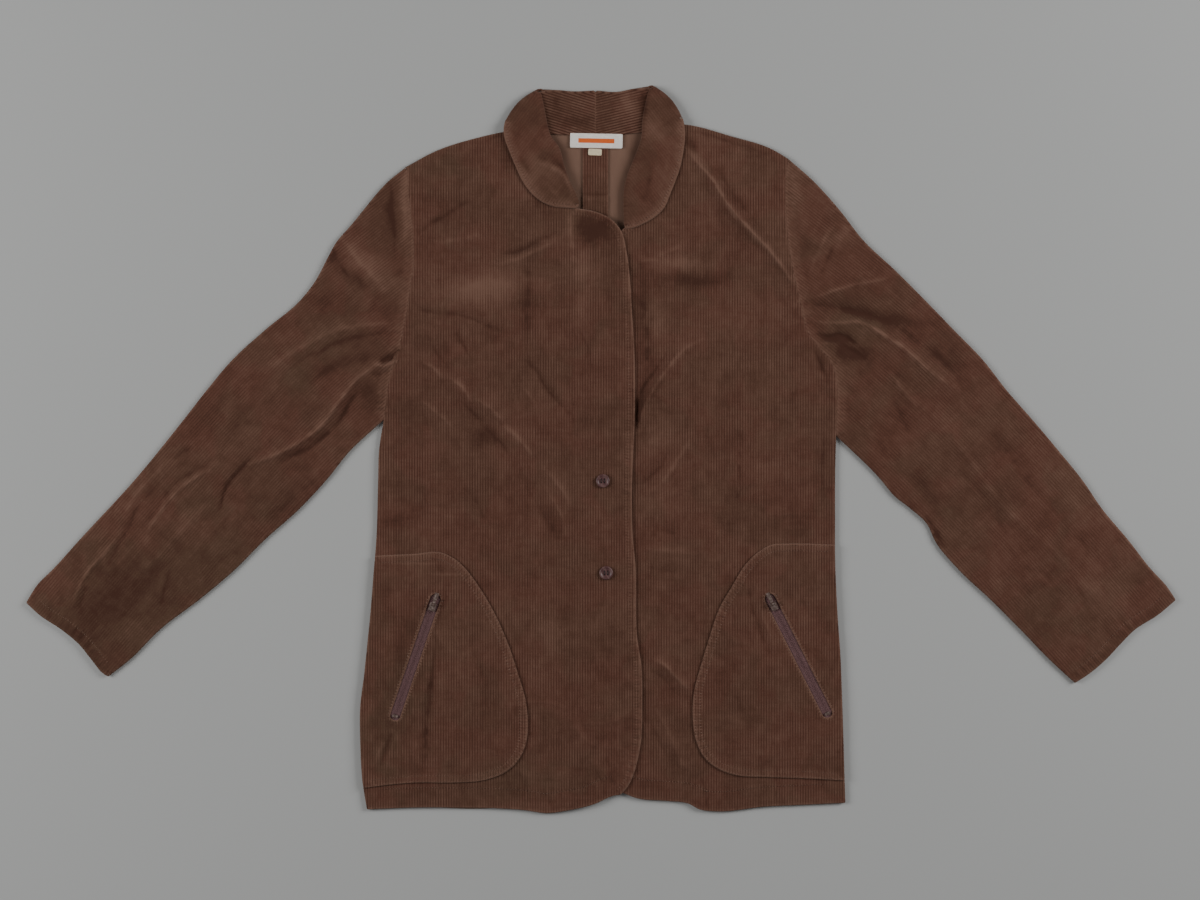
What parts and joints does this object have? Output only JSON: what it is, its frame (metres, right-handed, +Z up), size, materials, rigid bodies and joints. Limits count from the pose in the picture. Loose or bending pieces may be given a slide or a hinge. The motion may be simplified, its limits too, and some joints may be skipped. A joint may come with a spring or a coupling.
{
  "type": "corduroy jacket",
  "caption": "Unlined corduroy jacket laid out flat and face up, with rounded turn-over collar, buttoned front and curved patch pockets with slanted zips.",
  "frame": {"origin": "middle of the laid-out outline, on the plane that the jacket lies on", "axes": "+X to the wearer's left sleeve, +Y towards the collar, +Z up out of the front"},
  "size_m": [1.228, 0.7781, 0.0137],
  "materials": {
    "corduroy": "brown cotton corduroy, about nine wales an inch, soft nap",
    "zip_tape": "woven polyester tape with closed teeth, mauve brown",
    "zip_metal": "dark coppery plated metal",
    "button_horn": "polished dark brown, faint mauve clouding",
    "label_cloth": "off-white woven tape, plain orange bar, no name"
  },
  "bodies": {
    "jacket": {"back_left": "corduroy", "back_right": "corduroy", "back_seam_allowance": "corduroy", "button_lower": "button_horn", "button_upper": "button_horn", "collar_left": "corduroy", "collar_right": "corduroy", "collar_stand_left": "corduroy", "collar_stand_right": "corduroy", "front_left": "corduroy", "front_right": "corduroy", "neck_label": "label_cloth", "pocket_left": "corduroy", "pocket_right": "corduroy", "size_tab": "label_cloth", "sleeve_left": "corduroy", "sleeve_right": "corduroy", "zip_slider_left": "zip_metal", "zip_slider_right": "zip_metal", "zip_stop_left": "zip_metal", "zip_stop_right": "zip_metal", "zip_tape_left": "zip_tape", "zip_tape_right": "zip_tape"},
    "pull_right": {"zip_pull_right": "zip_metal"},
    "pull_left": {"zip_pull_left": "zip_metal"}
  },
  "joints": [
    {"name": "pull_right_hinge", "type": "hinge", "parent": "jacket", "child": "pull_right", "pos_m": [-0.17864, -0.16559, 0.01198], "axis": [0.9458, -0.3247, 0], "range_deg": [0, 190]},
    {"name": "pull_left_hinge", "type": "hinge", "parent": "jacket", "child": "pull_left", "pos_m": [0.18301, -0.16502, 0.0116], "axis": [0.8944, 0.4472, 0], "range_deg": [0, 190]}
  ]
}
